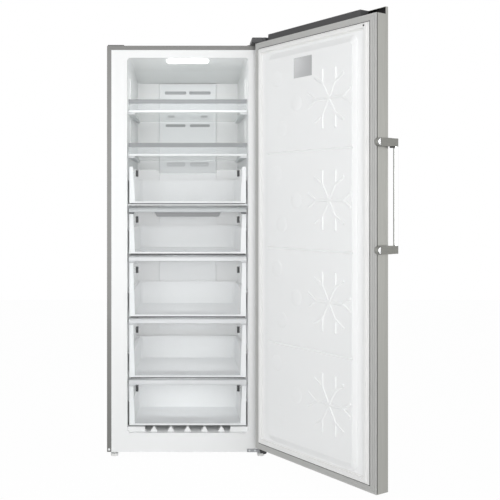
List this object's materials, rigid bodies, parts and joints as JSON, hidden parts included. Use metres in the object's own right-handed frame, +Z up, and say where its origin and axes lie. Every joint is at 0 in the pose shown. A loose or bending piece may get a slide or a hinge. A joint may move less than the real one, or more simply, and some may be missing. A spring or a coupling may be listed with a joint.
{
  "type": "upright freezer",
  "caption": "Tall frost-free freezer with its door open, showing glass shelves, stacked white drawers and a bar handle.",
  "frame": {"origin": "centre of the footprint on the floor, door open as at rest", "axes": "+Z up; the cabinet's opening faces -Y; +X is the hinge side"},
  "size_m": [1.1134, 1.28, 1.813],
  "materials": {
    "coated_steel": "satin",
    "zinc_steel": "dull zinc coat",
    "door_steel": "brushed along the height",
    "white_liner": "satin gloss",
    "white_mould": "satin",
    "front_panel": "clear, the grip clouded",
    "insulation": null,
    "diffuser": "translucent",
    "cooler_metal": "mill finish",
    "shelf_glass": "clear",
    "clear_plastic": "clear",
    "grey_rail": "satin",
    "hinge_steel": "satin black",
    "dark_plastic": "fine grain",
    "cap_plastic": "fine grain",
    "frame_plastic": "fine grain",
    "seal": "soft satin",
    "pot_steel": "satin black",
    "mount_rubber": "matt",
    "tray_plastic": "matt",
    "copper_tube": "bright",
    "foot_plastic": "matt",
    "roller_plastic": "matt",
    "bush_plastic": "matt",
    "bracket_grey": "satin",
    "bar_chrome": "polished"
  },
  "bodies": {
    "cabinet": {"cabinet_wrapper": "coated_steel", "back_panel": "zinc_steel", "base_pan": "zinc_steel", "foam_insulation": "insulation", "inner_liner": "white_liner", "drain_tube": "bush_plastic", "side_rails": "white_mould", "lamp_cover": "diffuser", "duct_cover": "white_mould", "evaporator_coil": "cooler_metal", "evaporator_fan_motor": "dark_plastic", "glass_shelf_1": "shelf_glass", "shelf_trim_1": "white_mould", "shelf_guard_1": "clear_plastic", "glass_shelf_2": "shelf_glass", "shelf_trim_2": "white_mould", "shelf_guard_2": "clear_plastic", "shelf_guard_rails": "grey_rail", "hinge_top": "hinge_steel", "hinge_cover": "dark_plastic", "hinge_bottom": "zinc_steel", "hinge_blank": "dark_plastic", "compressor": "pot_steel", "compressor_mounts": "mount_rubber", "drain_pan": "tray_plastic", "condenser_coil": "pot_steel", "condenser_fan_motor": "dark_plastic", "refrigerant_pipes": "copper_tube", "control_box": "dark_plastic", "mains_inlet": "roller_plastic", "machine_bay_cover": "zinc_steel", "roller_forks": "zinc_steel"},
    "evaporator_fan": {"evaporator_fan": "roller_plastic"},
    "condenser_fan": {"condenser_fan": "roller_plastic"},
    "foot_left": {"foot_left": "foot_plastic"},
    "foot_right": {"foot_right": "foot_plastic"},
    "roller_left": {"roller_left": "roller_plastic"},
    "roller_right": {"roller_right": "roller_plastic"},
    "door": {"door_outer_panel": "door_steel", "door_side_trims": "door_steel", "door_top_cap": "cap_plastic", "door_bottom_cap": "cap_plastic", "door_inner_frame": "frame_plastic", "door_foam_core": "insulation", "door_liner": "white_liner", "door_seal": "seal", "door_bushes": "bush_plastic", "handle_bracket_lower": "bracket_grey", "handle_bracket_upper": "bracket_grey", "handle_bar": "bar_chrome"},
    "drawer_1": {"drawer_1_front": "front_panel", "drawer_1_tub": "white_mould"},
    "drawer_2": {"drawer_2_front": "front_panel", "drawer_2_tub": "white_mould"},
    "drawer_3": {"drawer_3_front": "front_panel", "drawer_3_tub": "white_mould"},
    "drawer_4": {"drawer_4_front": "front_panel", "drawer_4_tub": "white_mould"},
    "drawer_5": {"drawer_5_front": "front_panel", "drawer_5_tub": "white_mould"}
  },
  "joints": [
    {"name": "door_hinge", "type": "hinge", "parent": "cabinet", "child": "door", "pos_m": [0.1223, -0.03504, 1.786], "axis": [0, 0, 1], "range_deg": [-123.5, 8]},
    {"name": "drawer_1_slide", "type": "slide", "parent": "cabinet", "child": "drawer_1", "axis": [0, -1, 0], "range_m": [0, 0.38]},
    {"name": "drawer_2_slide", "type": "slide", "parent": "cabinet", "child": "drawer_2", "axis": [0, -1, 0], "range_m": [0, 0.38]},
    {"name": "drawer_3_slide", "type": "slide", "parent": "cabinet", "child": "drawer_3", "axis": [0, -1, 0], "range_m": [0, 0.38]},
    {"name": "drawer_4_slide", "type": "slide", "parent": "cabinet", "child": "drawer_4", "axis": [0, -1, 0], "range_m": [0, 0.38]},
    {"name": "drawer_5_slide", "type": "slide", "parent": "cabinet", "child": "drawer_5", "axis": [0, -1, 0], "range_m": [0, 0.26]},
    {"name": "evaporator_fan_spin", "type": "hinge", "parent": "cabinet", "child": "evaporator_fan", "pos_m": [-0.2067, 0.52996, 1.48], "axis": [0, 1, 0], "continuous": true},
    {"name": "condenser_fan_spin", "type": "hinge", "parent": "cabinet", "child": "condenser_fan", "pos_m": [-0.3157, 0.52796, 0.125], "axis": [1, 0, 0], "continuous": true},
    {"name": "foot_left_turn", "type": "hinge", "parent": "cabinet", "child": "foot_left", "pos_m": [-0.5267, 0.04696, 0.012], "axis": [0, 0, 1], "continuous": true},
    {"name": "foot_right_turn", "type": "hinge", "parent": "cabinet", "child": "foot_right", "pos_m": [0.1133, 0.04696, 0.012], "axis": [0, 0, 1], "continuous": true},
    {"name": "roller_left_spin", "type": "hinge", "parent": "cabinet", "child": "roller_left", "pos_m": [-0.4967, 0.57696, 0.0115], "axis": [1, 0, 0], "continuous": true},
    {"name": "roller_right_spin", "type": "hinge", "parent": "cabinet", "child": "roller_right", "pos_m": [0.0833, 0.57696, 0.0115], "axis": [1, 0, 0], "continuous": true}
  ]
}
